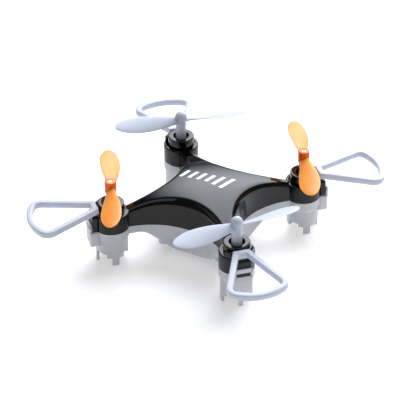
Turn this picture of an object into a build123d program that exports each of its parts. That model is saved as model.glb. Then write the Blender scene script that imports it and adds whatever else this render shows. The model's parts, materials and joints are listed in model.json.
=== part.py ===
from build123d import *
import os
from math import cos, radians, sin, sqrt

# Palm-size quadcopter, millimetres. +Z up, +Y is the nose, +X is right.
# The origin is on the floor plane, midway between the four motors.
# Everything on an arm is drawn along +X (the arm's own direction) and turned into place.

# driving dimensions
motor_half_pitch = 16.0                       # a motor axis from the centre line, in X and in Y
arm_reach = motor_half_pitch * sqrt(2)        # body centre to motor axis
arms = {"front_right": 45, "front_left": 135, "rear_left": 225, "rear_right": 315}

split_z = 8.6                                 # where the two shells meet
wall = 0.7                                    # shell thickness

# shell plan and profile
scoop_centre = 26.03                          # axis of each side's round scoop
scoop_radius = 16.7                           # waist half width is scoop_centre - scoop_radius
wall_lean = 0.3                               # the upper walls lean in by this much at the top
belly_lean = 0.42                             # the lower walls lean in by this much at the belly
dome_top_z = 16.3
dome_radius = 53.0
shoulder_radius = 1.2
belly_z = 0.9
belly_flat = 9.0                              # distance along an arm where the belly turns up
arm_under_z = 6.25
arm_under_start = 15.1
belly_turn_radius = 4.0
belly_edge_radius = 1.6

# motor pods
pod_radius = 4.05
pod_shoulder_z = 12.7
collar_radius = 3.02
collar_top_z = 14.9
collar_bore_radius = 1.79
motor_radius = 3.0
pocket_radius = 3.07
motor_top_z = 12.35
motor_bottom_z = 2.6
sleeve_radius = 3.66
sleeve_head_radius = 4.02
sleeve_head_z = 6.5
sleeve_neck_z = 5.9
leg_width = 1.7
leg_shoulder_width = 3.9
leg_shoulder_z = 1.9
rim_z = 2.9
outer_leg_width = 0.95
inner_rim_z = 1.6
inner_rim_half_width = 1.15
groove_reach = 3.5                            # lead groove in the sleeve's wall, on the body side
groove_half_width = 0.75

# the snap clip on the outside of each pod
bump_reach = 4.9
bump_half_width = 2.15
clip_inner = 4.93
clip_outer = 5.4
clip_half_width = 2.05
clip_bottom_z = 4.7
clip_top_z = 10.9
window_half_width = 1.62
window_low_z = 8.95
window_high_z = 9.85
catch_gap = 0.07

# propeller guard
guard_apex = 3.3
guard_apex_half_width = 1.85
guard_slope = 0.43
guard_corner = 16.3
guard_reach = 19.2
guard_band = 1.4
guard_height = 1.5
guard_corner_radius = 2.6
guard_top_z = 14.85
guard_tilt = 4.4
tab_inner = 3.45
tab_outer = 4.1
tab_half_width = 1.25
tab_bottom_z = 10.6
tab_gap = 0.06

# propellers
shaft_radius = 0.4
shaft_bottom_z = 3.0
stem_bottom_z = 13.3
stem_radius = 1.22
ball_radius = 1.38
ball_z = 19.9
hub_radius = 1.32
hub_top_z = 20.5
hub_bottom_z = 17.6
white_blade_z = 19.0
orange_blade_z = 18.65
blade_stations = [                            # radius, chord, pitch in degrees, thickness
    (0.55, 1.9, 30, 0.80),
    (2.4, 2.5, 28, 0.70),
    (5.0, 3.7, 25, 0.60),
    (8.0, 4.65, 21, 0.55),
    (10.6, 4.85, 18, 0.50),
    (13.0, 4.1, 15, 0.45),
    (14.7, 2.7, 13, 0.40),
    (15.5, 0.9, 12, 0.30),
]
prop_styles = {                               # rotation seen from above, hub, rest angle
    "front_right": ("counterclockwise", "flat", 124.5),
    "front_left": ("clockwise", "ball", 41.0),
    "rear_left": ("counterclockwise", "flat", 121.5),
    "rear_right": ("clockwise", "ball", 57.0),
}

# coreless motor: the coil cup turns round a magnet fixed on the bush
bush_radius = 1.0
bush_bore = 0.42
bush_bottom_z = 6.4
bush_stand = 0.4                              # how far the bush stands above the can
can_wall = 0.35
can_gap = 0.05                                # between the can and the roof of its pocket
magnet_radius = 1.75
magnet_bottom_z = 4.3
coil_inner = 1.95
coil_outer = 2.4
coil_top_z = 11.6
coil_bottom_z = 4.1
coil_disc_z = 3.65
commutator_radius = 0.9
commutator_z = 3.15
cap_thickness = 0.4
cap_spigot = 0.3
brush_inner = 0.92
brush_outer = 1.12
brush_arm = 1.9
brush_half_width = 0.3
brush_top_z = 3.55
brush_arm_top_z = 3.1
lead_radius = 0.17
lead_bend = 0.22
lead_offset = 0.4                             # each lead's distance from the arm's middle
lead_start = 1.9                              # from the motor axis towards the body
lead_rise = 3.28
lead_drop = 0.5
lead_over_z = 9.35

# inside the body
board_z = 8.0
board_thickness = 0.8
board_inset = 0.95
board_arm = 13.3
post = 7.3                                    # screw posts at (+-post, +-post)
post_radius = 1.2
screw_radius = 0.55
screw_head_radius = 1.0
screw_seat_z = 4.2
screw_head_height = 0.6
screw_tip_z = 11.2
cell_length = 15.0
cell_width = 11.5
cell_low_z = 1.95
cell_high_z = 6.6
cell_shift = 0.4

# what stands on the board: x, y, length, width, height
chips = {
    "processor_chip": (-0.4, -1.4, 4.0, 4.0, 0.8),
    "radio_chip": (4.4, 1.2, 3.0, 3.0, 0.75),
    "gyro_chip": (-1.2, 3.4, 3.0, 3.0, 0.9),
    "crystal": (4.2, -1.6, 3.2, 1.5, 0.7),
}
driver_reach = 6.9                            # body centre to each motor driver, along its arm
driver_size = (1.3, 2.9, 1.0)
capacitor_size = (0.5, 1.0, 0.5)
capacitor_places = [
    (-3.2, -0.6), (-3.2, 0.6), (-3.2, -1.8), (2.9, -4.6), (1.7, -4.6), (0.5, -4.6), (1.2, 1.9), (2.2, 1.9),
]
led_length = 1.6
led_half_width = 0.4
led_height = 0.6
antenna_radius = 0.2
antenna_bend = 0.8
antenna_z = 12.9                              # where it lies, under the dome

# power switch, on the underside of the board at the nose
switch_half_width = 3.2
switch_back_y = 6.0
switch_front_y = 8.35
switch_low_z = 6.5
slider_width = 1.3
slider_height = 0.8
slider_z = 7.3
slider_travel = 1.5
slider_tip_y = 9.9

# charging socket, on the board's top at the left side
socket_outer_x = -9.0
socket_inner_x = -5.9
socket_half_width = 2.1
socket_height = 1.9
socket_lip = 0.35


# small helpers
def rod(radius, low_z, high_z, x=0, y=0):
    return Pos(x, y, (low_z + high_z) / 2) * Cylinder(radius, high_z - low_z)


def tube(outer, inner, low_z, high_z, x=0, y=0):
    return rod(outer, low_z, high_z, x, y) - rod(inner, low_z - 1, high_z + 1, x, y)


def block(x0, x1, y0, y1, z0, z1):
    return Pos((x0 + x1) / 2, (y0 + y1) / 2, (z0 + z1) / 2) * Box(x1 - x0, y1 - y0, z1 - z0)


def on_arm(shape, angle):
    return Rot(0, 0, angle) * shape


def four_arms(shape):
    return [on_arm(shape, angle) for angle in arms.values()]


def wire(points, radius, bend):
    path = FilletPolyline(*points, radius=bend)
    return sweep(Plane(origin=path @ 0, z_dir=path % 0) * Circle(radius), path=path)


# the shells' common form
def scoops(radius_at_split, low_z, high_z, lean):
    """Four round cutters. The walls draw in above the split (lean > 0) or below it (lean < 0)."""
    low_radius = radius_at_split + max(-lean, 0)
    high_radius = radius_at_split + max(lean, 0)
    cutter = Cone(low_radius, high_radius, high_z - low_z)
    cutter = Pos(0, scoop_centre, (low_z + high_z) / 2) * cutter
    return [Rot(0, 0, turn) * cutter for turn in (0, 90, 180, 270)]


def off_axis(point):
    return sqrt(point.X ** 2 + point.Y ** 2)


def upper_form(inset, reach=arm_reach):
    """The domed X above the split, without its pods."""
    form = rod(reach, split_z, dome_top_z + 2)
    form -= scoops(scoop_radius + inset, split_z, dome_top_z + 2, wall_lean)
    dome = Rot(0, 90, 0) * Sphere(dome_radius - inset)
    form &= Pos(0, 0, dome_top_z - dome_radius) * dome
    shoulders = [e for e in form.edges() if (e @ 0.5).Z > 13 and off_axis(e @ 0.5) < 11]
    return fillet(shoulders, shoulder_radius - inset)


def lower_form(inset, reach=arm_reach):
    """The boat-shaped X below the split, without its motor sleeves."""
    low = belly_z + inset
    under = arm_under_z + inset
    keel = FilletPolyline(
        (0, low), (belly_flat, low), (arm_under_start, under), (reach, under), radius=belly_turn_radius
    )
    rim = Polyline((reach, under), (reach, split_z), (0, split_z), (0, low))
    form = revolve(Plane.XZ * make_face(keel + rim), Axis.Z, 360)
    form -= scoops(scoop_radius + inset, 0, split_z, -belly_lean)
    turned = [e for e in form.edges() if e.geom_type == GeomType.BSPLINE and (e @ 0.5).Z < split_z - 0.5]
    return fillet(turned, belly_edge_radius - inset)


# motor pods, on the arm
def ring_sector(inner, outer, low_z, high_z, start, end):
    """A piece of a ring about the motor axis, between two angles from the arm's outward direction."""
    ring = tube(outer, inner, low_z, high_z)
    middle = radians((start + end) / 2)
    half = radians((end - start) / 2)
    far = outer * 2
    wedge = Polyline(
        (0, 0),
        (far * cos(middle - half), far * sin(middle - half)),
        (far * cos(middle + half), far * sin(middle + half)),
        close=True,
    )
    return ring & (Pos(0, 0, low_z - 0.5) * extrude(make_face(wedge), high_z - low_z + 1))


def pod_cap():
    """Black upper half of a pod: barrel, collar, guard ears and the snap catch."""
    barrel = rod(pod_radius, split_z, pod_shoulder_z)
    rim = barrel.edges().filter_by(GeomType.CIRCLE).sort_by(Axis.Z)[-1]
    barrel = fillet(rim, 0.3)
    bump = block(2.0, bump_reach, -bump_half_width, bump_half_width, split_z, pod_shoulder_z)
    outer_edges = bump.edges().filter_by(Axis.Z).sort_by(Axis.X)[-2:]
    top_edge = bump.edges().filter_by(Axis.Y).group_by(Axis.Z)[-1].sort_by(Axis.X)[-1]
    bump = fillet([*outer_edges, top_edge], 0.6)
    collar = rod(collar_radius, pod_shoulder_z, collar_top_z)
    collar = fillet(collar.edges().filter_by(GeomType.CIRCLE).sort_by(Axis.Z)[-1], 0.2)
    cap = barrel + bump + collar
    for side in (-1, 1):
        ends = sorted((side * 34, side * 60))
        cap += ring_sector(2.6, 3.85, pod_shoulder_z, pod_shoulder_z + 1.6, *ends)
    cap += block(
        bump_reach - 0.3, clip_outer, catch_gap - window_half_width, window_half_width - catch_gap,
        window_low_z + catch_gap, window_high_z - catch_gap,
    )
    cap -= rod(pocket_radius, split_z - 1, motor_top_z)
    cap -= rod(collar_bore_radius, motor_top_z - 1, collar_top_z + 1)
    cap -= block(
        tab_inner - tab_gap, tab_outer + tab_gap, -tab_half_width - tab_gap, tab_half_width + tab_gap,
        tab_bottom_z - tab_gap, pod_shoulder_z + 1,
    )
    return cap


def pod_sleeve():
    """Frosted lower half of a pod: stepped sleeve with legs, and the snap clip."""
    sleeve = rod(sleeve_radius, 0, split_z)
    sleeve += rod(sleeve_head_radius, sleeve_head_z, split_z)
    neck_height = sleeve_head_z - sleeve_neck_z
    neck = Cone(sleeve_radius, sleeve_head_radius, neck_height)
    sleeve += Pos(0, 0, sleeve_neck_z + neck_height / 2) * neck
    foot = block(2.0, clip_outer, -clip_half_width, clip_half_width, clip_bottom_z, split_z)
    low_edge = foot.edges().filter_by(Axis.Y).group_by(Axis.Z)[0].sort_by(Axis.X)[-1]
    foot = fillet(low_edge, 0.9)
    clip = block(clip_inner, clip_outer, -clip_half_width, clip_half_width, split_z, clip_top_z)
    clip -= block(
        clip_inner - 1, clip_outer + 1, -window_half_width, window_half_width, window_low_z, window_high_z
    )
    sleeve = sleeve + foot + clip
    out = sleeve_radius + 0.5
    notches = [                               # along the arm from and to, across it from, height
        (leg_width / 2, leg_shoulder_width / 2, 0, leg_shoulder_z),
        (leg_shoulder_width / 2, out, outer_leg_width / 2, rim_z),
        (-leg_shoulder_width / 2, -leg_width / 2, 0, leg_shoulder_z),
        (-out, -leg_shoulder_width / 2, inner_rim_half_width, rim_z),
    ]
    for start, end, across, height in notches:
        notch = block(start, end, across, out, -1, height)
        sleeve -= [notch, mirror(notch, Plane.XZ)]
    return sleeve - block(-out, -leg_width / 2, -out, out, -1, inner_rim_z)


def pod_bore():
    """What the motor and its leads need clear inside the lower pod."""
    bore = rod(pocket_radius, -1, split_z + 1)
    return bore + block(-groove_reach, 0, -groove_half_width, groove_half_width, -1, split_z + 1)


# shells
def make_top_shell():
    shell = upper_form(0)
    caps = four_arms(Pos(arm_reach, 0, 0) * pod_cap())
    barrels = four_arms(rod(pocket_radius + 0.3, split_z, motor_top_z, arm_reach))
    hollow = upper_form(wall, arm_reach - pocket_radius) - barrels
    shell = shell - four_arms(rod(pod_radius - 0.5, split_z - 1, dome_top_z, arm_reach))
    shell = shell + caps - hollow
    passage = block(arm_reach - pod_radius - 0.5, arm_reach - 2, -groove_half_width, groove_half_width,
                    split_z - 1, split_z + 1.5)
    shell -= four_arms(passage)
    posts = [rod(post_radius, board_z + board_thickness, dome_top_z, x, y) for x, y in post_places()]
    for pillar in posts:
        shell += pillar & upper_form(wall / 2)
    shell -= [rod(screw_radius + 0.01, split_z - 1, screw_tip_z + 0.5, x, y) for x, y in post_places()]
    board_top = board_z + board_thickness
    shell -= block(
        socket_outer_x - 2, socket_inner_x - 1, -socket_half_width - 0.1, socket_half_width + 0.1,
        split_z - 1, board_top + socket_height + 0.1,
    )
    return shell


def make_bottom_shell():
    shell = lower_form(0) - lower_form(wall, arm_reach - sleeve_radius)
    sleeves = four_arms(Pos(arm_reach, 0, 0) * pod_sleeve())
    bores = four_arms(Pos(arm_reach, 0, 0) * pod_bore())
    for x, y in post_places():
        pillar = rod(post_radius, belly_z + 0.2, board_z, x, y)
        shell += pillar & lower_form(wall / 2)
        shell -= rod(screw_radius + 0.1, 0, board_z + 1, x, y)
        shell -= rod(screw_head_radius + 0.1, -1, screw_seat_z, x, y)
    for sleeve in sleeves:
        shell = shell + sleeve
    for bore in bores:
        shell = shell - bore
    room = slider_travel / 2 + slider_width / 2 + 0.15
    tall = slider_height / 2 + 0.12
    return shell - block(-room, room, switch_front_y, slider_tip_y + 1, slider_z - tall, slider_z + tall)


def post_places():
    return [(x * post, y * post) for x in (-1, 1) for y in (-1, 1)]


# propeller guard, on the arm
def make_guard():
    slope_at = guard_apex_half_width + guard_slope * (guard_corner - guard_apex)
    outline = make_face(
        Polyline((guard_corner, -slope_at), (guard_apex, -guard_apex_half_width),
                 (guard_apex, guard_apex_half_width), (guard_corner, slope_at))
        + ThreePointArc((guard_corner, slope_at), (guard_reach, 0), (guard_corner, -slope_at))
    )
    corners = outline.vertices().sort_by(Axis.X)
    outline = fillet(corners[-2:], guard_corner_radius)
    outline = fillet(outline.vertices().sort_by(Axis.X)[:2], 0.4)
    hole = offset(outline, -guard_band, kind=Kind.INTERSECTION)
    loop = extrude(outline - hole, guard_height)
    rims = loop.edges().filter_by(lambda e: abs((e @ 0).Z - (e @ 1).Z) < 1e-6)
    loop = fillet(rims, 0.3)
    loop = Pos(0, 0, guard_top_z - guard_height) * loop
    turn = Pos(guard_apex, 0, guard_top_z) * Rot(0, guard_tilt, 0) * Pos(-guard_apex, 0, -guard_top_z)
    tab = block(tab_inner, tab_outer, -tab_half_width, tab_half_width, tab_bottom_z, guard_top_z - 0.6)
    return turn * loop + tab


# propeller, on its own axis
def make_propeller(spin, hub):
    ball_hub = hub == "ball"
    blade_z = white_blade_z if ball_hub else orange_blade_z
    lift = 1 if spin == "counterclockwise" else -1
    sections = []
    for radius, chord, pitch, thickness in blade_stations:
        slope = radians(pitch)
        plane = Plane(origin=(radius, 0, blade_z), x_dir=(0, cos(slope), lift * sin(slope)), z_dir=(1, 0, 0))
        sections.append(plane * Ellipse(chord / 2, thickness / 2))
    blade = loft(sections)
    prop = blade + Rot(0, 0, 180) * blade
    if ball_hub:
        prop += rod(stem_radius, stem_bottom_z, ball_z) + Pos(0, 0, ball_z) * Sphere(ball_radius)
        return prop - rod(shaft_radius, stem_bottom_z - 1, ball_z)
    prop += rod(stem_radius - 0.15, stem_bottom_z, hub_bottom_z)
    barrel = rod(hub_radius, hub_bottom_z, hub_top_z)
    prop += fillet(barrel.edges().filter_by(GeomType.CIRCLE), 0.2)
    return prop - rod(shaft_radius, stem_bottom_z - 1, hub_top_z + 1)


# coreless motor, on its own axis
def make_shaft(hub):
    top = ball_z if hub == "ball" else hub_top_z - 0.1
    return rod(shaft_radius, shaft_bottom_z, top)


def make_can():
    can = rod(motor_radius, motor_bottom_z, motor_top_z - can_gap)
    can = fillet(can.edges().filter_by(GeomType.CIRCLE).sort_by(Axis.Z)[-1], 0.3)
    can -= rod(motor_radius - can_wall, motor_bottom_z - 1, motor_top_z - can_gap - can_wall)
    return can - rod(bush_radius, motor_bottom_z, motor_top_z + 1)


def make_bush():
    return tube(bush_radius, bush_bore, bush_bottom_z, motor_top_z + bush_stand)


def make_magnet():
    return tube(magnet_radius, bush_radius, magnet_bottom_z, motor_top_z - can_gap - can_wall)


def make_coil():
    cup = tube(coil_outer, coil_inner, coil_bottom_z, coil_top_z)
    disc = tube(coil_outer, shaft_radius, coil_disc_z, coil_bottom_z)
    commutator = tube(commutator_radius, shaft_radius, commutator_z, coil_disc_z)
    return cup + disc + commutator


def make_end_cap():
    """Plastic end plate with the two brushes that ride on the commutator."""
    cap = rod(motor_radius, motor_bottom_z - cap_thickness, motor_bottom_z)
    cap += rod(motor_radius - can_wall - 0.02, motor_bottom_z, motor_bottom_z + cap_spigot)
    half = brush_half_width
    for side in (-1, 1):
        tip = sorted((side * brush_inner, side * brush_outer))
        arm = sorted((side * brush_outer, side * brush_arm))
        cap += block(*tip, -half, half, motor_bottom_z, brush_top_z)
        cap += block(*arm, -half, half, motor_bottom_z, brush_arm_top_z)
    return cap


def make_leads():
    """Two insulated leads, from the end cap up the sleeve's groove to the board's arm tip."""
    start_z = motor_bottom_z - cap_thickness
    start_x = arm_reach - lead_start
    rise_x = arm_reach - lead_rise
    end_x = board_arm - 0.9
    leads = []
    for side in (-1, 1):
        y = side * lead_offset
        points = [
            (start_x, y, start_z),
            (start_x, y, start_z - lead_drop),
            (rise_x, y, start_z - lead_drop),
            (rise_x, y, lead_over_z),
            (end_x, y, lead_over_z),
            (end_x, y, board_z + board_thickness),
        ]
        leads.append(wire(points, lead_radius, lead_bend))
    return Compound(children=leads)


# electronics
def make_board():
    board = rod(board_arm, board_z, board_z + board_thickness)
    scoop = rod(scoop_radius + board_inset, board_z - 1, board_z + 2, 0, scoop_centre)
    board -= [Rot(0, 0, turn) * scoop for turn in (0, 90, 180, 270)]
    for x, y in post_places():
        board -= rod(screw_radius + 0.15, board_z - 1, board_z + 2, x, y)
    return board


def on_board(x, y, long, wide, tall):
    z = board_z + board_thickness + tall / 2
    return Pos(x, y, z) * Box(long, wide, tall)


def make_capacitors():
    return Compound(children=[on_board(x, y, *capacitor_size) for x, y in capacitor_places])


def make_motor_drivers():
    body = on_board(driver_reach, 0, *driver_size)
    return Compound(children=four_arms(body))


def make_led():
    start = board_arm - led_length
    return block(start, board_arm, -led_half_width, led_half_width, board_z - led_height, board_z)


def make_cell():
    cell = block(
        cell_shift - cell_length / 2, cell_shift + cell_length / 2,
        -cell_width / 2, cell_width / 2, cell_low_z, cell_high_z,
    )
    return fillet(cell.edges().filter_by(Axis.Y), 1.0)


def make_cell_board():
    end = cell_shift - cell_length / 2
    return block(end - 0.8, end, -4.0, 4.0, 3.2, 5.8)


def make_cell_leads():
    x = cell_shift - cell_length / 2 - 0.4
    return Compound(children=[rod(0.3, 5.8, board_z, x, side) for side in (-1.0, 1.0)])


def make_cell_pad():
    return block(-5.0, 5.0, -4.0, 4.0, belly_z + wall, cell_low_z)


def make_switch_housing():
    housing = block(
        -switch_half_width, switch_half_width, switch_back_y, switch_front_y, switch_low_z, board_z
    )
    room = slider_travel / 2 + slider_width / 2 + 0.15
    tall = slider_height / 2 + 0.05
    start, end = switch_front_y - 1, switch_front_y + 1
    return housing - block(-room, room, start, end, slider_z - tall, slider_z + tall)


def make_slider():
    """At the off end of its travel; it slides towards +X."""
    x = -slider_travel / 2
    knob = block(
        x - slider_width / 2, x + slider_width / 2, switch_front_y - 0.9, slider_tip_y,
        slider_z - slider_height / 2, slider_z + slider_height / 2,
    )
    return fillet(knob.edges().filter_by(Axis.Z).sort_by(Axis.Y)[-2:], 0.15)


def make_socket():
    low = board_z + board_thickness
    high = low + socket_height
    body = block(socket_outer_x, socket_inner_x, -socket_half_width, socket_half_width, low, high)
    body -= block(
        socket_outer_x - 1, socket_inner_x - 0.7, socket_lip - socket_half_width,
        socket_half_width - socket_lip, low + socket_lip, high - socket_lip,
    )
    for side in (-1, 1):
        body -= socket_pin(side)
    return body


def socket_pin(side):
    z = board_z + board_thickness + socket_height / 2
    return Pos((socket_outer_x + 0.6 + socket_inner_x + 0.5) / 2, side * 0.625, z) * Rot(0, 90, 0) * Cylinder(
        0.2, socket_inner_x + 0.5 - socket_outer_x - 0.6
    )


def make_antenna():
    low = board_z + board_thickness
    points = [
        (2.6, 6.4, low),
        (2.6, 6.4, antenna_z - 0.7),
        (-1.2, 6.2, antenna_z),
        (-4.6, 3.8, antenna_z),
        (-5.6, -0.2, antenna_z),
        (-4.2, -4.0, antenna_z),
    ]
    return wire(points, antenna_radius, antenna_bend)


def make_screws():
    screws = []
    for x, y in post_places():
        screw = rod(screw_radius, screw_seat_z, screw_tip_z, x, y)
        screw += rod(screw_head_radius, screw_seat_z - screw_head_height, screw_seat_z, x, y)
        low = screw_seat_z - screw_head_height
        for turn in (0, 90):
            slot = Pos(x, y, low) * Rot(0, 0, turn) * Box(1.1, 0.28, 0.7)
            screw -= slot
        screws.append(screw)
    return Compound(children=screws)


# the whole model
def build_parts():
    parts = {
        "top_shell": make_top_shell(),
        "bottom_shell": make_bottom_shell(),
        "shell_screws": make_screws(),
        "circuit_board": make_board(),
        "motor_drivers": make_motor_drivers(),
        "capacitors": make_capacitors(),
        "antenna_wire": make_antenna(),
        "battery_cell": make_cell(),
        "battery_protection_board": make_cell_board(),
        "battery_leads": make_cell_leads(),
        "battery_pad": make_cell_pad(),
        "power_switch_housing": make_switch_housing(),
        "power_switch_slider": make_slider(),
        "charge_socket": make_socket(),
        "charge_socket_pins": Compound(children=[socket_pin(-1), socket_pin(1)]),
    }
    for name, place in chips.items():
        parts[name] = on_board(*place)
    guard = Pos(arm_reach, 0, 0) * make_guard()
    leads = make_leads()
    led = make_led()
    for name, angle in arms.items():
        spin, hub, rest_angle = prop_styles[name]
        axis_place = Rot(0, 0, angle) * Pos(arm_reach, 0, 0)
        straight = axis_place * Rot(0, 0, -angle)
        parts["guard_" + name] = on_arm(guard, angle)
        parts["propeller_" + name] = straight * Rot(0, 0, rest_angle) * make_propeller(spin, hub)
        parts["motor_shaft_" + name] = straight * make_shaft(hub)
        parts["motor_coil_" + name] = straight * make_coil()
        parts["motor_can_" + name] = straight * make_can()
        parts["motor_bush_" + name] = straight * make_bush()
        parts["motor_magnet_" + name] = straight * make_magnet()
        parts["motor_end_cap_" + name] = axis_place * make_end_cap()
        parts["motor_leads_" + name] = on_arm(leads, angle)
        parts["status_led_" + name] = on_arm(led, angle)
    return parts


os.makedirs("parts", exist_ok=True)
for node, shape in build_parts().items():
    export_step(shape, "parts/" + node + ".step")
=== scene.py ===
import json
from math import asin, atan2, cos, pi, radians, sin, sqrt

import bmesh
import bpy
from mathutils import Matrix, Vector


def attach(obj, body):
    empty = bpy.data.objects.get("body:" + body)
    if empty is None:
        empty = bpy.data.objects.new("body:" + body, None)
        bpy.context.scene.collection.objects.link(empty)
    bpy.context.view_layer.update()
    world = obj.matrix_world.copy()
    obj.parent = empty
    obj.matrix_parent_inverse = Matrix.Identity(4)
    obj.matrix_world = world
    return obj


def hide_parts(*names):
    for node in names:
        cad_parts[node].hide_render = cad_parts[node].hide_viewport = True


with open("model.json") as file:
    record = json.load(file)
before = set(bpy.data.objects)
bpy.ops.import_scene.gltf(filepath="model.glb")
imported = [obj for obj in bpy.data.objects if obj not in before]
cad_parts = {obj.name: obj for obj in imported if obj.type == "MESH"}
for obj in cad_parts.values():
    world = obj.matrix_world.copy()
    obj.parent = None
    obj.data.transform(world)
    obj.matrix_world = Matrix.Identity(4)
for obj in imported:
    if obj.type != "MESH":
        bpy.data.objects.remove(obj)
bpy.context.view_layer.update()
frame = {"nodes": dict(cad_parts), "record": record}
print("frame loaded")

# lengths in the dictionaries are millimetres; a finished piece is brought to metres once
mm = 0.001
armReach = 16.0 * sqrt(2)                     # body centre to motor axis
arms = {"front_right": 45, "front_left": 135, "rear_left": 225, "rear_right": 315}
splitZ = 8.6                                  # where the two shells meet


# sRGB hex to linear RGBA
def linear(hexColour):
    values = [int(hexColour[i:i + 2], 16) / 255 for i in (1, 3, 5)]
    return [v / 12.92 if v <= 0.04045 else ((v + 0.055) / 1.055) ** 2.4 for v in values] + [1]


def addNode(tree, kind, links=None, **settings):
    node = tree.nodes.new(kind)
    for key, value in settings.items():
        if hasattr(node, key):
            setattr(node, key, value)
    for socket, value in (links or {}).items():
        if isinstance(value, bpy.types.NodeSocket):
            tree.links.new(value, node.inputs[socket])
        else:
            node.inputs[socket].default_value = value
    return node


# a material from its look: colours, gloss, and grain sizes in millimetres
def surface(name, look):
    made = bpy.data.materials.new(name)
    made.use_nodes = True
    tree = made.node_tree
    shader = tree.nodes["Principled BSDF"]
    place = addNode(tree, "ShaderNodeTexCoord").outputs["Object"]
    stretched = addNode(tree, "ShaderNodeMapping", {"Vector": place, "Scale": look.get("stretch", (1, 1, 1))})
    tint = addNode(tree, "ShaderNodeTexNoise", {
        "Vector": place, "Scale": 1000 / look.get("tintMm", 9), "Detail": 4, "Roughness": 0.55})
    ramp = addNode(tree, "ShaderNodeValToRGB", {"Fac": tint.outputs["Fac"]})
    ramp.color_ramp.elements[0].position = 0.35
    ramp.color_ramp.elements[1].position = 0.65
    ramp.color_ramp.elements[0].color = linear(look["colour"])
    ramp.color_ramp.elements[1].color = linear(look.get("second", look["colour"]))
    colour = ramp.outputs["Color"]
    grain = addNode(tree, "ShaderNodeTexNoise", {
        "Vector": stretched.outputs["Vector"], "Scale": 1000 / look.get("grainMm", 0.25), "Detail": 5, "Roughness": 0.6})
    height = grain.outputs["Fac"]
    if "bandMm" in look:                      # windings, traces or moulding lines
        bands = addNode(tree, "ShaderNodeTexWave", {
            "Vector": place, "Scale": 1000 / look["bandMm"] / 20, "Distortion": look.get("bandWander", 0.3),
            "Detail": 2}, bands_direction=look.get("bandAxis", "Z"))
        shade = addNode(tree, "ShaderNodeMix", {
            0: bands.outputs["Fac"], 6: colour, 7: linear(look.get("bandColour", look["colour"]))}, data_type="RGBA")
        colour = shade.outputs[2]
        mixed = addNode(tree, "ShaderNodeMath", {0: bands.outputs["Fac"], 1: height}, operation="ADD")
        height = mixed.outputs[0]
    if "speckMm" in look:                     # dust and fine wear
        specks = addNode(tree, "ShaderNodeTexVoronoi", {"Vector": place, "Scale": 1000 / look["speckMm"]})
        spot = addNode(tree, "ShaderNodeMapRange", {
            "Value": specks.outputs["Distance"], "From Min": 0.0, "From Max": 0.12, "To Min": 1.0, "To Max": 0.0})
        lit = addNode(tree, "ShaderNodeMix", {
            0: spot.outputs[0], 6: colour, 7: linear(look.get("speckColour", "#d8d8d8"))}, data_type="RGBA")
        colour = lit.outputs[2]
    patch = addNode(tree, "ShaderNodeTexNoise", {
        "Vector": stretched.outputs["Vector"], "Scale": 1000 / look.get("patchMm", 4), "Detail": 3})
    low, high = look["rough"]
    gloss = addNode(tree, "ShaderNodeMapRange", {
        "Value": patch.outputs["Fac"], "From Min": 0.3, "From Max": 0.7, "To Min": low, "To Max": high})
    bump = addNode(tree, "ShaderNodeBump", {
        "Height": height, "Strength": look.get("relief", 0.1), "Distance": look.get("depthMm", 0.02) * mm})
    tree.links.new(colour, shader.inputs["Base Color"])
    tree.links.new(gloss.outputs[0], shader.inputs["Roughness"])
    tree.links.new(bump.outputs["Normal"], shader.inputs["Normal"])
    for socket, value in look.get("shader", {}).items():
        shader.inputs[socket].default_value = value
    return made


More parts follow.
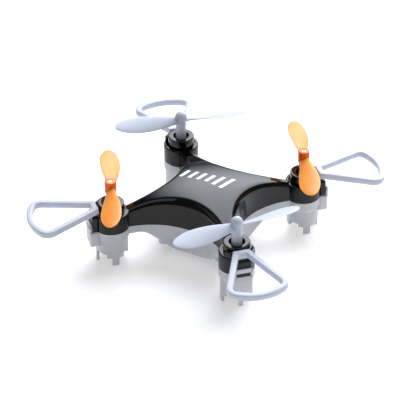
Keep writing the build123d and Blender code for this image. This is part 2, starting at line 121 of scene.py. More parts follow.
looks = {
    # high gloss moulded ABS: near black, mirror-like, faint flow marks
    "gloss black ABS": {
        "colour": "#030304", "second": "#060608", "rough": (0.035, 0.06), "grainMm": 0.9, "relief": 0.02,
        "depthMm": 0.004, "patchMm": 6, "shader": {"IOR": 1.54, "Specular IOR Level": 0.29}},
    # frosted polycarbonate, moulded against an etched tool: cloudy, soft sheen
    "frosted smoke polycarbonate": {
        "colour": "#bfc1c7", "second": "#c8cad0", "rough": (0.3, 0.42), "grainMm": 0.12, "relief": 0.15,
        "depthMm": 0.012, "tintMm": 5, "shader": {
            "IOR": 1.58, "Subsurface Weight": 0.35, "Subsurface Radius": (1, 1, 1), "Subsurface Scale": 0.0012}},
    # polypropylene, moulded satin: cool white, waxy
    "satin white polypropylene": {
        "colour": "#c9cdda", "second": "#c3c7d5", "rough": (0.26, 0.36), "grainMm": 0.18, "relief": 0.1,
        "depthMm": 0.01, "tintMm": 6, "shader": {
            "IOR": 1.49, "Specular IOR Level": 0.3, "Subsurface Weight": 0.3, "Subsurface Radius": (1, 1, 1), "Subsurface Scale": 0.0008}},
    # polycarbonate blade, thin and slightly glossy
    "white blade polycarbonate": {
        "colour": "#c6cbd9", "second": "#c0c5d4", "rough": (0.3, 0.4), "grainMm": 0.3, "relief": 0.06,
        "depthMm": 0.008, "tintMm": 5, "shader": {
            "IOR": 1.55, "Specular IOR Level": 0.25, "Subsurface Weight": 0.35, "Subsurface Radius": (1, 1, 1), "Subsurface Scale": 0.0006}},
    # tinted polycarbonate: light passes the thin blades, the thick hub is deeper
    "translucent orange polycarbonate": {
        "colour": "#ff9a3c", "second": "#ffa34a", "rough": (0.3, 0.42), "grainMm": 0.3, "relief": 0.06,
        "depthMm": 0.008, "tintMm": 4, "shader": {
            "IOR": 1.55, "Specular IOR Level": 0.3, "Subsurface Weight": 0.6, "Subsurface Radius": (1.0, 0.45, 0.12), "Subsurface Scale": 0.0012}},
    # the same resin where it is thick: deep red-orange
    "deep orange polycarbonate": {
        "colour": "#f2690c", "second": "#f7761a", "rough": (0.14, 0.24), "grainMm": 0.3, "relief": 0.06,
        "depthMm": 0.008, "tintMm": 2, "shader": {
            "IOR": 1.55, "Specular IOR Level": 0.3, "Subsurface Weight": 0.5, "Subsurface Radius": (1.0, 0.3, 0.05), "Subsurface Scale": 0.001}},
    # pad-printed ink: flat, slightly raised white
    "white pad print ink": {
        "colour": "#e9ebee", "second": "#dfe2e6", "rough": (0.3, 0.45), "grainMm": 0.08, "relief": 0.2,
        "depthMm": 0.006, "tintMm": 1.5, "shader": {"IOR": 1.5}},
    # nickel plated drawn steel: fine lines round the can
    "drawn nickel steel": {
        "colour": "#b9bbbe", "second": "#aeb0b4", "rough": (0.18, 0.32), "grainMm": 0.3, "stretch": (1, 1, 8),
        "relief": 0.2, "depthMm": 0.006, "shader": {"Metallic": 1.0}},
    # ground shaft steel
    "ground steel": {
        "colour": "#c9cacc", "second": "#bdbec1", "rough": (0.12, 0.22), "grainMm": 0.15, "stretch": (1, 1, 6),
        "relief": 0.15, "depthMm": 0.004, "shader": {"Metallic": 1.0}},
    # zinc plated screw: soft grey-blue
    "zinc plated steel": {
        "colour": "#aeb4bb", "second": "#9aa0a8", "rough": (0.25, 0.4), "grainMm": 0.1, "relief": 0.2,
        "depthMm": 0.008, "tintMm": 0.6, "shader": {"Metallic": 1.0}},
    # enamelled copper wire, wound: close bands
    "wound copper wire": {
        "colour": "#b5602c", "second": "#a65426", "bandColour": "#7c3a18", "bandMm": 0.12, "rough": (0.2, 0.34),
        "relief": 0.5, "depthMm": 0.03, "shader": {"Metallic": 0.9}},
    # sintered bronze bush
    "sintered bronze": {
        "colour": "#a8823f", "second": "#8f6d33", "rough": (0.35, 0.5), "grainMm": 0.08, "tintMm": 0.4,
        "relief": 0.35, "depthMm": 0.01, "shader": {"Metallic": 1.0}},
    # gold plated contact pins
    "plated brass": {
        "colour": "#c9a24c", "second": "#bd9642", "rough": (0.15, 0.28), "grainMm": 0.15, "tintMm": 0.8,
        "relief": 0.1, "depthMm": 0.004, "shader": {"Metallic": 1.0}},
    # nickel plated sintered magnet
    "plated magnet": {
        "colour": "#8c8d90", "second": "#7f8083", "rough": (0.25, 0.38), "grainMm": 0.2, "tintMm": 0.8,
        "relief": 0.15, "depthMm": 0.006, "shader": {"Metallic": 1.0}},
    # natural nylon, moulded
    "natural nylon": {
        "colour": "#dedbd0", "second": "#d4d1c4", "rough": (0.4, 0.52), "grainMm": 0.15, "tintMm": 1.2,
        "relief": 0.15, "depthMm": 0.01, "shader": {"IOR": 1.53}},
    # green solder mask over etched tracks
    "solder mask": {
        "colour": "#0f5a2c", "second": "#0b4a24", "bandColour": "#1b6f3b", "bandMm": 0.5, "bandAxis": "DIAGONAL",
        "bandWander": 6, "rough": (0.2, 0.35), "relief": 0.25, "depthMm": 0.02, "shader": {"IOR": 1.5}},
    # moulded epoxy chip body with a matte finish
    "moulded epoxy": {
        "colour": "#151517", "second": "#1d1d20", "rough": (0.5, 0.62), "grainMm": 0.06, "tintMm": 0.5,
        "relief": 0.3, "depthMm": 0.01, "shader": {"IOR": 1.55}},
    # fired ceramic
    "fired ceramic": {
        "colour": "#a98b68", "second": "#96795a", "rough": (0.35, 0.5), "grainMm": 0.08, "tintMm": 0.4,
        "relief": 0.2, "depthMm": 0.01, "shader": {"IOR": 1.6}},
    # laminated aluminium pouch foil, a little creased
    "pouch foil": {
        "colour": "#c9ccd1", "second": "#b9bcc2", "rough": (0.22, 0.38), "grainMm": 1.6, "tintMm": 3,
        "relief": 0.5, "depthMm": 0.08, "shader": {"Metallic": 0.9}},
    # closed cell foam tape
    "closed cell foam": {
        "colour": "#242427", "second": "#2f2f33", "rough": (0.75, 0.9), "grainMm": 0.2, "tintMm": 0.3,
        "relief": 0.7, "depthMm": 0.08, "shader": {"IOR": 1.4}},
    # extruded PVC insulation
    "red PVC insulation": {
        "colour": "#9c1f1c", "second": "#8a1a18", "rough": (0.3, 0.42), "grainMm": 0.12, "tintMm": 1,
        "relief": 0.15, "depthMm": 0.01, "shader": {"IOR": 1.53}},
    "black PVC insulation": {
        "colour": "#18181a", "second": "#222224", "rough": (0.3, 0.42), "grainMm": 0.12, "tintMm": 1,
        "relief": 0.15, "depthMm": 0.01, "shader": {"IOR": 1.53}},
    # clear cast epoxy over the diode
    "cast epoxy lens": {
        "colour": "#e8e6cf", "second": "#dcdac0", "rough": (0.08, 0.16), "grainMm": 0.2, "tintMm": 0.4,
        "relief": 0.05, "depthMm": 0.004, "shader": {"IOR": 1.52}},
    # white card floor, almost matt
    "white card": {
        "colour": "#f4f4f4", "second": "#f1f1f1", "rough": (0.7, 0.8), "grainMm": 0.6, "tintMm": 60,
        "relief": 0.03, "depthMm": 0.02, "shader": {
            "Specular IOR Level": 0.2, "Emission Color": (1, 1, 1, 1), "Emission Strength": 0.28}},
}
finishes = {name: surface(name, look) for name, look in looks.items()}
slotFinish = {                                # the record's slots and the finish each one shows
    "black_shell": "gloss black ABS", "smoke_shell": "frosted smoke polycarbonate",
    "white_guard": "satin white polypropylene", "white_blade": "white blade polycarbonate",
    "orange_blade": "translucent orange polycarbonate", "steel_screw": "zinc plated steel",
    "board": "solder mask", "chip": "moulded epoxy", "crystal_can": "drawn nickel steel",
    "capacitor": "fired ceramic", "antenna": "black PVC insulation", "cell_foil": "pouch foil",
    "wire": "red PVC insulation", "foam": "closed cell foam", "switch_steel": "drawn nickel steel",
    "switch_knob": "moulded epoxy", "socket_body": "natural nylon", "contact": "plated brass",
    "shaft": "ground steel", "copper": "wound copper wire", "motor_steel": "drawn nickel steel",
    "bush": "sintered bronze", "magnet": "plated magnet", "end_cap": "natural nylon", "led": "cast epoxy lens",
}
for entry in frame["record"]["subparts"]:
    node = frame["nodes"][entry["node"]]
    node.data.materials.clear()
    node.data.materials.append(finishes[slotFinish[entry["material_slot"]]])
print("materials made")


def ofKind(geom, kind):
    return [g for g in geom if isinstance(g, kind)]


# moves what was drawn about a pod's own axis out onto the arm at that angle
def toArm(bm, verts, angle, reach=armReach):
    place = Matrix.Rotation(radians(angle), 4, "Z") @ Matrix.Translation((reach, 0, 0))
    bmesh.ops.transform(bm, matrix=place, verts=verts)


# a rounded block between two corners; returns its vertices
def addBlock(bm, low, high, radius=0.0, segments=3):
    size = [b - a for a, b in zip(low, high)]
    centre = [(a + b) / 2 for a, b in zip(low, high)]
    made = bmesh.ops.create_cube(bm, size=1)["verts"]
    bmesh.ops.scale(bm, vec=size, verts=made)
    bmesh.ops.translate(bm, vec=centre, verts=made)
    if radius:
        edges = list({e for v in made for e in v.link_edges})
        bevelled = bmesh.ops.bevel(bm, geom=edges, offset=radius, offset_type="OFFSET", affect="EDGES",
                                   segments=segments, profile=0.5, material=-1)
        made = list({v for f in bevelled["faces"] for v in f.verts})
        made = linked(made)
    return made


# everything joined to these vertices
def linked(verts):
    found, queue = set(verts), list(verts)
    while queue:
        for edge in queue.pop().link_edges:
            for v in edge.verts:
                if v not in found:
                    found.add(v)
                    queue.append(v)
    return list(found)


# a profile of (radius, height) turned about Z; returns its vertices
def addTurned(bm, profile, steps=64, closed=True):
    corners = [bm.verts.new((r, 0, z)) for r, z in profile]
    pairs = list(zip(corners, corners[1:] + (corners[:1] if closed else [])))
    if not closed:
        pairs = pairs[:len(corners) - 1]
    edges = [bm.edges.new(pair) for pair in pairs]
    bmesh.ops.spin(bm, geom=corners + edges, cent=(0, 0, 0), axis=(0, 0, 1), angle=2 * pi, steps=steps,
                   use_merge=True)
    return linked(corners)


# profile points of a rounded corner
def arc(centreR, centreZ, radius, start, end, steps=4):
    turns = [radians(start + (end - start) * i / steps) for i in range(steps + 1)]
    return [(centreR + radius * cos(t), centreZ + radius * sin(t)) for t in turns]


# cleans the mesh, brings it to metres, and gives it its finish and its body
def finishPiece(bm, name, slotName, body, replaced=(), finish=None, sharp=34, second=None):
    bmesh.ops.remove_doubles(bm, verts=bm.verts, dist=0.002)
    bmesh.ops.recalc_face_normals(bm, faces=bm.faces)
    bmesh.ops.scale(bm, vec=(mm, mm, mm), verts=bm.verts)
    for face in bm.faces:
        face.smooth = True
    for edge in bm.edges:
        edge.smooth = len(edge.link_faces) == 2 and edge.calc_face_angle(0) < radians(sharp)
    mesh = bpy.data.meshes.new(name)
    bm.to_mesh(mesh)
    bm.free()
    mesh.materials.append(finishes[finish or slotFinish[slotName]])
    if second:
        mesh.materials.append(finishes[second])
    piece = bpy.data.objects.new(name, mesh)
    bpy.context.scene.collection.objects.link(piece)
    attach(piece, body)
    if replaced:
        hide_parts(*replaced)
    return piece


# both shells
shellForm = {
    "scoopCentre": 26.03, "scoopRadius": 16.7,    # each side is a round scoop
    "scoopTurn": 48.2, "perSide": 57,             # how far the scoop runs, in degrees, and its columns
    "wallLean": 0.3, "wallLeanHeight": 9.7, "bellyLean": 0.42,
    "domeTop": 16.3, "domeRadius": 53.0,
    "shoulder": 1.1, "shoulderMore": 0.6,         # shoulder radius at the arms, and what mid-side adds
    "bellyZ": 0.9, "bellyFlat": 9.0, "underZ": 6.25, "underStart": 15.1, "underBlend": 1.5,
    "bellyEdge": 0.85, "bellyEdgeMore": 0.9, "wall": 0.7,
}


# (side direction, across direction, turn) of each column round the shell
def shellColumns():
    form = shellForm
    columns = []
    for side in range(4):
        along = Vector((cos(side * pi / 2), sin(side * pi / 2), 0))
        across = Vector((-along.y, along.x, 0))
        for i in range(form["perSide"]):
            turn = radians(form["scoopTurn"]) * (2 * i / (form["perSide"] - 1) - 1)
            columns.append((along, across, turn))
    return columns


def columnPoint(column, inwards):
    along, across, turn = column
    reach = shellForm["scoopRadius"] + inwards
    return along * (shellForm["scoopCentre"] - reach * cos(turn)) + across * reach * sin(turn)


# moves a point straight in from its side until it meets the arm's own line, at slide 1
def slideIn(point, column, slide):
    along, across, turn = column
    x, y = point.dot(along), point.dot(across)
    return along * (x + (abs(y) - x) * slide) + across * y


def domeHeight(point):
    form = shellForm
    flat = point.x ** 2 + point.y ** 2
    return form["domeTop"] - form["domeRadius"] + sqrt(form["domeRadius"] ** 2 - flat)


def keelHeight(point):
    form = shellForm
    r = sqrt(point.x ** 2 + point.y ** 2)
    slope = (form["underZ"] - form["bellyZ"]) / (form["underStart"] - form["bellyFlat"])
    blendBy = form["underBlend"]
    height = form["bellyZ"]
    for start, change in ((form["bellyFlat"], slope), (form["underStart"], -slope)):
        past = r - start
        if past > blendBy:
            height += change * past
        elif past > -blendBy:
            height += change * (past + blendBy) ** 2 / (4 * blendBy)
    return height


# a ring for each row, drawn out from the one before, and closed at the middle
def shellSkin(bm, rows):
    columns = shellColumns()
    made = bmesh.ops.create_circle(bm, segments=len(columns), radius=20, cap_ends=False)["verts"]
    ring = sorted(made, key=lambda v: (atan2(v.co.y, v.co.x) + pi / 4 + 1e-4) % (2 * pi))
    edges = list({e for v in ring for e in v.link_edges})
    for number, row in enumerate(rows):
        if number:
            grown = bmesh.ops.extrude_edge_only(bm, edges=edges)["geom"]
            edges = ofKind(grown, bmesh.types.BMEdge)
            fresh = set(ofKind(grown, bmesh.types.BMVert))
            edges = [e for e in edges if e.verts[0] in fresh and e.verts[1] in fresh]
            partner = {}
            for v in fresh:
                for e in v.link_edges:
                    other = e.other_vert(v)
                    if other not in fresh:
                        partner[other] = v
            ring = [partner[v] for v in ring]
        for v, column in zip(ring, columns):
            v.co = row(column)
    bmesh.ops.remove_doubles(bm, verts=bm.verts, dist=0.002)


# rise None is on the wall, down 0 at the split and 1 at its top; otherwise 0 to 1 over the shoulder
def upperRow(down, rise, slide=0.0, skin=0.0):
    form = shellForm

    def place(column):
        soft = form["shoulder"] + form["shoulderMore"] * cos(column[2] * 90 / form["scoopTurn"]) ** 2
        lean = form["wallLean"] * (form["domeTop"] - 2 - splitZ) / form["wallLeanHeight"]
        if rise is None:
            point = columnPoint(column, lean * down + skin)
            top = domeHeight(point) - soft
            point.z = splitZ + (top - splitZ) * down
            return point
        turned = rise * pi / 2
        point = slideIn(columnPoint(column, lean + skin + (soft - skin) * (1 - cos(turned))), column, slide)
        point.z = domeHeight(point) - skin - (soft - skin) * (1 - sin(turned))
        return point
    return place


def lowerRow(down, rise, slide=0.0, skin=0.0):
    form = shellForm

    def place(column):
        full = form["bellyEdge"] + form["bellyEdgeMore"] * cos(column[2] * 90 / form["scoopTurn"]) ** 2
        depth = splitZ - keelHeight(columnPoint(column, 0))
        lean = form["bellyLean"] * depth / (splitZ - form["bellyZ"])
        if rise is None:
            point = columnPoint(column, lean * down + skin)
            low = keelHeight(point) + full
            point.z = splitZ + (low - splitZ) * down
            return point
        turned = rise * pi / 2
        edge = full - skin
        point = slideIn(columnPoint(column, lean + skin + edge * (1 - cos(turned))), column, slide)
        point.z = keelHeight(point) + skin + edge * (1 - sin(turned))
        return point
    return place


# from the middle of the inner skin, out, down its wall, across the rim, and back over the outer skin
def shellRows(row):
    rows = []
    for skin in (shellForm["wall"], 0):
        walls = [row(step / 4, None, 0, skin) for step in range(4)]
        shoulder = [row(0, step / 8, 0, skin) for step in range(9)]
        middle = [row(0, 1, step / 18, skin) for step in range(1, 19)]
        skinRows = walls + shoulder + middle
        rows += skinRows[::-1] if skin else skinRows
    return rows


podForm = {
    "barrel": 4.05, "shoulderZ": 12.7, "pocket": 3.07, "pocketTop": 12.35,
    "collar": 3.02, "collarTop": 14.9, "collarBore": 1.79,
    "bumpReach": 4.9, "bumpHalf": 2.15,
    "clipInner": 4.93, "clipOuter": 5.4, "clipHalf": 2.05, "clipLow": 4.7, "clipTop": 10.9,
    "windowHalf": 1.62, "windowLow": 8.95, "windowHigh": 9.85,
    "earInner": 2.6, "earOuter": 3.85, "earRise": 1.6, "earFrom": 34, "earTo": 60,
    "sleeve": 3.66, "sleeveHead": 4.02, "headZ": 6.5, "neckZ": 5.9,
}


def addCap(bm, angle):
    p = podForm
    lip = 0.3
    profile = [(p["pocket"], splitZ), (p["barrel"], splitZ)]
    profile += arc(p["barrel"] - lip, p["shoulderZ"] - lip, lip, 0, 90)
    profile += [(p["collar"] + 0.32, p["shoulderZ"]), (p["collar"] + 0.22, p["shoulderZ"] - 0.16)]
    profile += [(p["collar"], p["shoulderZ"] - 0.16)]
    profile += arc(p["collar"] - 0.2, p["collarTop"] - 0.2, 0.2, 0, 90)
    profile += arc(p["collarBore"] + 0.12, p["collarTop"] - 0.12, 0.12, 90, 180)
    profile += [(p["collarBore"], p["pocketTop"]), (p["pocket"], p["pocketTop"])]
    made = addTurned(bm, profile, 72)
    made += addBlock(bm, (p["pocket"] + 0.35, -p["bumpHalf"], splitZ), (p["bumpReach"], p["bumpHalf"], p["shoulderZ"]),
                     0.5, 4)
    gap = 0.07
    made += addBlock(bm, (p["bumpReach"] - 0.3, gap - p["windowHalf"], p["windowLow"] + gap),
                     (p["clipOuter"], p["windowHalf"] - gap, p["windowHigh"] - gap), 0.12, 2)
    for side in (-1, 1):
        corners = [bm.verts.new((r, 0, z)) for r, z in (
            (p["earInner"], p["shoulderZ"] - 0.2), (p["earOuter"], p["shoulderZ"] - 0.2),
            (p["earOuter"], p["shoulderZ"] + p["earRise"] - 0.3), (p["earOuter"] - 0.3, p["shoulderZ"] + p["earRise"]),
            (p["earInner"], p["shoulderZ"] + p["earRise"]))]
        face = bm.faces.new(corners)
        bmesh.ops.rotate(bm, verts=corners, cent=(0, 0, 0),
                         matrix=Matrix.Rotation(radians(side * p["earFrom"]), 3, "Z"))
        bmesh.ops.spin(bm, geom=[face], cent=(0, 0, 0), axis=(0, 0, 1),
                       angle=radians(side * (p["earTo"] - p["earFrom"])), steps=8)
        made += linked(corners)
    toArm(bm, list(set(made)), angle)


# cuts closed blocks and rods out of a closed skin, before anything else is joined to it
def carve(bm, cutters):
    holders = []
    for shape in (bm, cutters):
        bmesh.ops.remove_doubles(shape, verts=shape.verts, dist=0.002)
        bmesh.ops.recalc_face_normals(shape, faces=shape.faces)
        holder = bpy.data.objects.new("cutting", bpy.data.meshes.new("cutting"))
        shape.to_mesh(holder.data)
        bpy.context.scene.collection.objects.link(holder)
        holders.append(holder)
    cut = holders[0].modifiers.new("cut", "BOOLEAN")
    cut.operation, cut.solver, cut.object = "DIFFERENCE", "EXACT", holders[1]
    bpy.context.view_layer.update()
    made = bpy.data.meshes.new_from_object(holders[0].evaluated_get(bpy.context.evaluated_depsgraph_get()))
    bm.clear()
    cutters.free()
    bm.from_mesh(made)
    for holder in holders:
        bpy.data.objects.remove(holder)


def makeTopShell():
    bm = bmesh.new()
    shellSkin(bm, shellRows(upperRow))
    socket = bmesh.new()                      # room for the charging plug, on the left side
    addBlock(socket, (-12, -2.2, splitZ - 1), (-6.5, 2.2, 10.8))
    carve(bm, socket)
    for angle in arms.values():
        addCap(bm, angle)
    return finishPiece(bm, "topShell", "black_shell", "airframe", ["top_shell"])


footForm = {                                  # angle from, angle to, lowest height of the sleeve there
    "steps": [(0, 7.5, 0.0), (7.5, 57.8, 2.9), (57.8, 76.6, 1.9), (76.6, 103.4, 0.0),
              (103.4, 122.2, 1.9), (122.2, 161.7, 2.9), (161.7, 180, 1.6)],
    "heights": [0.0, 1.6, 1.9, 2.9, 5.9, 6.5, 8.6],
}


# the motor sleeve with its legs, drawn as a ring whose columns fall on the legs' edges
def addSleeve(bm, angle):
    p = podForm
    turns = []
    for start, end, low in footForm["steps"]:
        count = max(1, round((end - start) / 6))
        turns += [start + (end - start) * i / count for i in range(count)]
    turns = [-t for t in turns[:0:-1]] + turns + [180]
    ring = bmesh.ops.create_circle(bm, segments=len(turns), radius=p["sleeve"], cap_ends=False)["verts"]
    ring = sorted(ring, key=lambda v: (atan2(v.co.y, v.co.x) + 2 * pi) % (2 * pi))
    for v, turn in zip(ring, turns):
        v.co = (p["sleeve"] * cos(radians(turn)), p["sleeve"] * sin(radians(turn)), 0)
    edges = list({e for v in ring for e in v.link_edges})
    faces = []
    for height in footForm["heights"][1:]:
        grown = bmesh.ops.extrude_edge_only(bm, edges=edges)["geom"]
        fresh = ofKind(grown, bmesh.types.BMVert)
        edges = [e for e in ofKind(grown, bmesh.types.BMEdge) if e.verts[0] in fresh and e.verts[1] in fresh]
        faces += ofKind(grown, bmesh.types.BMFace)
        radius = p["sleeveHead"] if height > 6 else p["sleeve"]
        for v in fresh:
            flat = Vector((v.co.x, v.co.y, 0)).normalized() * radius
            v.co = (flat.x, flat.y, height)
    doomed = []
    for face in faces:
        centre = face.calc_center_median()
        turn = abs(atan2(centre.y, centre.x)) * 180 / pi
        low = next(l for a, b, l in footForm["steps"] if a - 0.01 <= turn <= b + 0.01)
        if centre.z < low:
            doomed.append(face)
    kept = [f for f in faces if f not in doomed]
    bmesh.ops.delete(bm, geom=doomed, context="FACES")
    bmesh.ops.recalc_face_normals(bm, faces=kept)
    shelled = bmesh.ops.solidify(bm, geom=kept, thickness=p["sleeve"] - p["pocket"])
    made = {v for f in ofKind(shelled["geom"], bmesh.types.BMFace) if f.is_valid for v in f.verts}
    made |= {v for f in kept if f.is_valid for v in f.verts}
    made = linked(made)
    gap = p["clipHalf"]
    made += addBlock(bm, (3.2, -gap, p["clipLow"]), (p["clipOuter"], gap, splitZ + 0.02), 0.35, 3)
    side = gap - p["windowHalf"]
    for low in (-gap, p["windowHalf"]):
        made += addBlock(bm, (p["clipInner"], low, splitZ - 0.3), (p["clipOuter"], low + side, p["clipTop"]), 0.08, 2)
    made += addBlock(bm, (p["clipInner"], -gap, splitZ - 0.4), (p["clipOuter"], gap, p["windowLow"]), 0.08, 2)
    made += addBlock(bm, (p["clipInner"], -gap, p["windowHigh"]), (p["clipOuter"], gap, p["clipTop"]), 0.12, 2)
    toArm(bm, list(set(made)), angle)


def makeBottomShell():
    bm = bmesh.new()
    shellSkin(bm, shellRows(lowerRow))
    holes = bmesh.new()                       # screw holes and the switch slot
    for x in (-7.3, 7.3):
        for y in (-7.3, 7.3):
            rod = bmesh.ops.create_cone(holes, cap_ends=True, segments=40, radius1=1.1, radius2=1.1, depth=4)["verts"]
            bmesh.ops.translate(holes, vec=(x, y, 1.4), verts=rod)
    addBlock(holes, (-1.55, 7.0, 6.78), (1.55, 12, 7.82))
    carve(bm, holes)
    for x in (-7.3, 7.3):                     # the screw pillars' walls inside the holes
        for y in (-7.3, 7.3):
            pillar = addTurned(bm, [(1.1, 1.7), (1.35, 1.9), (1.35, 7.9), (0.65, 7.9), (0.65, 4.25), (1.1, 4.25)], 40)
            bmesh.ops.translate(bm, vec=(x, y, 0), verts=pillar)
    finishPiece(bm, "bottomShell", "smoke_shell", "airframe", ["bottom_shell"])
    sleeves = bmesh.new()
    for angle in arms.values():
        addSleeve(sleeves, angle)
    return finishPiece(sleeves, "motorSleeves", "smoke_shell", "airframe", sharp=30)


makeTopShell()
makeBottomShell()
print("shells made")

# guards, drawn in plan and drawn up
guardForm = {
    "apex": 3.3, "apexHalf": 1.85, "slope": 0.43, "corner": 16.3, "reach": 19.2,
    "band": 1.4, "height": 1.5, "cornerRadius": 2.6, "topZ": 14.85, "tilt": 4.4,
    "tabIn": 3.45, "tabOut": 4.1, "tabHalf": 1.25, "tabLow": 10.6,
}


def makeGuard(name, angle):
    g = guardForm
    bm = bmesh.new()
    lean = sqrt(1 + g["slope"] ** 2)          # the sides' lines, the bow's circle, and the corner between them
    wide = g["apexHalf"] + g["slope"] * (g["corner"] - g["apex"])
    bow = g["reach"] - g["corner"]
    bowRadius = (wide ** 2 + bow ** 2) / (2 * bow)
    bowX = g["reach"] - bowRadius
    r = g["cornerRadius"]
    offset = g["apexHalf"] - g["slope"] * g["apex"] - r * lean
    a, b, c = 1 + g["slope"] ** 2, g["slope"] * offset - bowX, bowX ** 2 + offset ** 2 - (bowRadius - r) ** 2
    cornerX = (-b + sqrt(b * b - a * c)) / a
    cornerY = g["slope"] * cornerX + offset
    sideTurn, bowTurn = atan2(1, -g["slope"]), atan2(cornerY, cornerX - bowX)
    upper = [(g["apex"], g["apexHalf"])]
    for step in range(11):
        turn = sideTurn + (bowTurn - sideTurn) * step / 10
        upper.append((cornerX + r * cos(turn), cornerY + r * sin(turn)))
    upper += [(bowX + bowRadius * cos(bowTurn * t / 6), bowRadius * sin(bowTurn * t / 6)) for t in range(5, 0, -1)]
    outline = upper + [(g["reach"], 0)] + [(x, -y) for x, y in upper[::-1]]
    bm.faces.new([bm.verts.new((x, y, g["topZ"] - g["height"])) for x, y in outline])
    bm.normal_update()
    face = bm.faces[:][0]
    bmesh.ops.inset_region(bm, faces=[face], thickness=g["band"], use_even_offset=True, use_boundary=True)
    bmesh.ops.delete(bm, geom=[face], context="FACES")
    raised = bmesh.ops.extrude_face_region(bm, geom=bm.faces[:])["geom"]
    bmesh.ops.translate(bm, vec=(0, 0, g["height"]), verts=ofKind(raised, bmesh.types.BMVert))
    bmesh.ops.recalc_face_normals(bm, faces=bm.faces)
    rims = [e for e in bm.edges if abs(e.calc_face_angle(0)) > radians(70) and abs(e.verts[0].co.z - e.verts[1].co.z) < 0.01]
    bmesh.ops.bevel(bm, geom=rims, offset=0.3, offset_type="OFFSET", affect="EDGES", segments=3, profile=0.5,
                    material=-1)
    tilt = Matrix.Translation((g["apex"], 0, g["topZ"])) @ Matrix.Rotation(radians(g["tilt"]), 4, "Y")
    tilt = tilt @ Matrix.Translation((-g["apex"], 0, -g["topZ"]))
    bmesh.ops.transform(bm, matrix=tilt, verts=bm.verts)
    addBlock(bm, (g["tabIn"], -g["tabHalf"], g["tabLow"]), (g["tabOut"], g["tabHalf"], g["topZ"] - 0.6), 0.1, 2)
    toArm(bm, bm.verts, angle)
    return finishPiece(bm, "guard." + name, "white_guard", "airframe", ["guard_" + name])


# propellers: sections bridged from root to tip, on a turned hub
propForm = {
    "sections": [                             # radius, chord, pitch, thickness
        (0.55, 1.9, 30, 0.80), (2.4, 2.5, 28, 0.70), (3.7, 3.1, 26.5, 0.65), (5.0, 3.7, 25, 0.60),
        (6.5, 4.25, 23, 0.57), (8.0, 4.65, 21, 0.55), (9.4, 4.85, 19.5, 0.52), (10.6, 4.85, 18, 0.50),
        (11.9, 4.6, 16.5, 0.47), (13.0, 4.1, 15, 0.45), (14.0, 3.4, 14, 0.42), (14.7, 2.7, 13, 0.40),
        (15.2, 1.9, 12.5, 0.35), (15.5, 0.9, 12, 0.30)],
    "camber": 0.14,                           # the blade's middle stands this far above its edges
    "stem": 1.22, "stemLow": 13.3, "ball": 1.38, "ballZ": 19.9,
    "hub": 1.32, "hubLow": 17.6, "hubTop": 20.5, "whiteZ": 19.0, "orangeZ": 18.65, "bore": 0.4,
}
propStyles = {                                # turns which way, which hub, and its rest angle
    "front_right": ("counterclockwise", "flat", 124.5),
    "front_left": ("clockwise", "ball", 41.0),
    "rear_left": ("counterclockwise", "flat", 121.5),
    "rear_right": ("clockwise", "ball", 57.0),
}


def addBlade(bm, lift, bladeZ, turn):
    before = set(bm.verts)
    loops = []
    for radius, chord, pitch, thickness in propForm["sections"]:
        ring = bmesh.ops.create_circle(bm, segments=28, radius=0.5, cap_ends=False)["verts"]
        bmesh.ops.scale(bm, vec=(chord, thickness, 1), verts=ring)
        for v in ring:                        # a gentle arch across the blade
            v.co.y += propForm["camber"] * min(1, radius / 5) * (0.5 - (2 * v.co.x / chord) ** 2) * chord / 5
        stand = Matrix.Rotation(pi / 2, 4, "Z") @ Matrix.Rotation(pi / 2, 4, "X")
        slope = Matrix.Rotation(lift * radians(pitch), 4, "X")
        place = Matrix.Translation((radius, 0, bladeZ)) @ slope @ stand
        bmesh.ops.transform(bm, matrix=place, verts=ring)
        loops.append(list({e for v in ring for e in v.link_edges}))
    for first, second in zip(loops, loops[1:]):
        bmesh.ops.bridge_loops(bm, edges=first + second)
    bmesh.ops.holes_fill(bm, edges=loops[0] + loops[-1], sides=40)
    made = [v for v in bm.verts if v not in before]
    bmesh.ops.rotate(bm, verts=made, cent=(0, 0, 0), matrix=Matrix.Rotation(radians(turn), 3, "Z"))


def makePropeller(name, angle):
    f = propForm
    spin, hub, restAngle = propStyles[name]
    lift = 1 if spin == "counterclockwise" else -1
    bm = bmesh.new()
    bladeZ = f["whiteZ"] if hub == "ball" else f["orangeZ"]
    for turn in (0, 180):
        addBlade(bm, lift, bladeZ, turn)
    if hub == "ball":
        neck = sqrt(f["ball"] ** 2 - f["stem"] ** 2)
        start = atan2(-neck, f["stem"]) * 180 / pi
        profile = [(0, f["stemLow"]), (f["stem"], f["stemLow"]), (f["stem"], f["ballZ"] - neck)]
        profile += arc(0, f["ballZ"], f["ball"], start, 90, 14)[1:]
        addTurned(bm, profile, 48, closed=False)
    else:
        profile = [(f["bore"], f["stemLow"]), (f["stem"] - 0.15, f["stemLow"]), (f["stem"] - 0.15, f["hubLow"])]
        profile += arc(f["hub"] - 0.15, f["hubLow"] + 0.15, 0.15, -90, 0, 3)
        profile += arc(f["hub"] - 0.2, f["hubTop"] - 0.2, 0.2, 0, 90, 4)
        profile += [(f["bore"] + 0.05, f["hubTop"]), (f["bore"], f["hubTop"] - 0.1)]
        hubVerts = addTurned(bm, profile, 48)
        for face in {face for v in hubVerts for face in v.link_faces}:
            face.material_index = 1
    centre = Matrix.Rotation(radians(angle), 3, "Z") @ Vector((armReach, 0, 0))
    bmesh.ops.rotate(bm, verts=bm.verts, cent=(0, 0, 0), matrix=Matrix.Rotation(radians(restAngle), 3, "Z"))
    bmesh.ops.translate(bm, vec=centre, verts=bm.verts)
    slotName = "white_blade" if hub == "ball" else "orange_blade"
    return finishPiece(bm, "propeller." + name, slotName, "rotor_" + name, ["propeller_" + name],
                       second=None if hub == "ball" else "deep orange polycarbonate")


for name, angle in arms.items():
    makeGuard(name, angle)
    makePropeller(name, angle)
print("guards and propellers made")

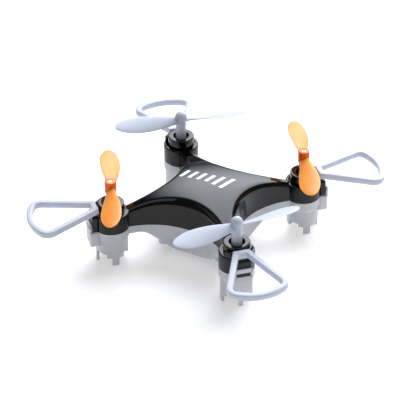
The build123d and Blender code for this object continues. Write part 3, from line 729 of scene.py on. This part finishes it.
# plain slanted bars printed on the upper shell
printForm = {"bars": [(-5.2, 3.0), (-3.1, 3.0), (-1.0, 3.0), (1.1, 3.0), (3.2, 3.9), (5.3, 4.8)], "width": 0.85,
             "slant": 0.3, "lift": 0.015, "thick": 0.03, "turn": 4, "at": (-1.26, 1.25)}


def makePrint():
    p = printForm
    bm = bmesh.new()
    for across, length in p["bars"]:
        made = bmesh.ops.create_grid(bm, x_segments=4, y_segments=12, size=0.5)["verts"]
        bmesh.ops.scale(bm, vec=(p["width"], length, 1), verts=made)
        for v in made:
            v.co.x += across + p["slant"] * v.co.y
    bmesh.ops.rotate(bm, verts=bm.verts, cent=(0, 0, 0), matrix=Matrix.Rotation(radians(p["turn"]), 3, "Z"))
    bmesh.ops.translate(bm, vec=(p["at"][0], p["at"][1], 0), verts=bm.verts)
    for v in bm.verts:
        v.co.z = domeHeight(v.co) + p["lift"]
    bmesh.ops.recalc_face_normals(bm, faces=bm.faces)
    bmesh.ops.solidify(bm, geom=bm.faces[:], thickness=p["thick"])
    return finishPiece(bm, "shellPrint", "white_guard", "airframe", finish="white pad print ink")


makePrint()
print("print made")

# floor, light and camera
stageForm = {"floor": 6.0, "azimuth": 28.869, "elevation": 33.913, "distance": 0.5578, "target": 9.82, "drop": 0.66,
             "lens": 212.6}


def makeStage():
    s = stageForm
    bm = bmesh.new()
    bmesh.ops.create_grid(bm, x_segments=2, y_segments=2, size=s["floor"] / 2)
    mesh = bpy.data.meshes.new("floor")
    bm.to_mesh(mesh)
    bm.free()
    mesh.materials.append(finishes["white card"])
    floor = bpy.data.objects.new("floor", mesh)
    bpy.context.scene.collection.objects.link(floor)
    azimuth, elevation = radians(s["azimuth"]), radians(s["elevation"])
    back = Vector((sin(azimuth) * cos(elevation), -cos(azimuth) * cos(elevation), sin(elevation)))
    turned = back.to_track_quat("Z", "Y")
    camera = bpy.data.objects.new("camera", bpy.data.cameras.new("camera"))
    camera.data.lens = s["lens"]
    camera.data.clip_start = 0.01
    camera.rotation_euler = turned.to_euler()
    upwards = turned @ Vector((0, 1, 0))
    camera.location = Vector((0, 0, s["target"] * mm)) + back * s["distance"] - upwards * s["drop"] * mm
    bpy.context.scene.collection.objects.link(camera)
    bpy.context.scene.camera = camera


lights = {                                    # azimuth from +X, elevation, distance, width, height, power, roll
    "backPanel": (97, 40, 0.62, 0.92, 0.80, 15.5, 30),
    "overhead": (-75, 76, 0.70, 0.60, 0.60, 1.2, 0),
    "leftFill": (200, 40, 0.9, 0.5, 0.5, 0.5, 0),
    "rightFill": (-10, 38, 0.9, 0.5, 0.5, 0.6, 0),
}


def makeLights():
    for name, (azimuth, elevation, distance, width, height, power, roll) in lights.items():
        lamp = bpy.data.lights.new(name, "AREA")
        lamp.shape, lamp.size, lamp.size_y, lamp.energy = "RECTANGLE", width, height, power
        if name == "backPanel":               # the panel fades out towards its top and its sides
            lamp.use_nodes = True
            tree = lamp.node_tree
            spot = addNode(tree, "ShaderNodeNewGeometry").outputs["Parametric"]
            parts = addNode(tree, "ShaderNodeSeparateXYZ", {"Vector": spot})
            strength = 1.0
            for axis, low, high in (("X", 0.0, 0.3), ("X", 1.0, 0.7), ("Y", 1.0, 0.8), ("Y", 0.0, 0.4)):
                fade = addNode(tree, "ShaderNodeMapRange", {
                    "Value": parts.outputs[axis], "From Min": low, "From Max": high}, interpolation_type="SMOOTHSTEP")
                strength = addNode(tree, "ShaderNodeMath", {0: strength, 1: fade.outputs[0]},
                                   operation="MULTIPLY").outputs[0]
            tree.links.new(strength, tree.nodes["Emission"].inputs["Strength"])
            tree.nodes["Emission"].inputs["Color"].default_value = linear("#f2f8ff")
        holder = bpy.data.objects.new(name, lamp)
        a, e = radians(azimuth), radians(elevation)
        away = Vector((cos(a) * cos(e), sin(a) * cos(e), sin(e)))
        holder.location = away * distance
        holder.rotation_euler = (away.to_track_quat("Z", "Y").to_matrix() @ Matrix.Rotation(radians(roll), 3, "Z")).to_euler()
        bpy.context.scene.collection.objects.link(holder)
    world = bpy.data.worlds.new("studio")
    bpy.context.scene.world = world
    world.use_nodes = True
    world.node_tree.nodes["Background"].inputs["Color"].default_value = linear("#ffffff")
    world.node_tree.nodes["Background"].inputs["Strength"].default_value = 0.12
    bpy.context.scene.view_settings.view_transform = "Standard"


makeStage()
makeLights()
print("stage made")
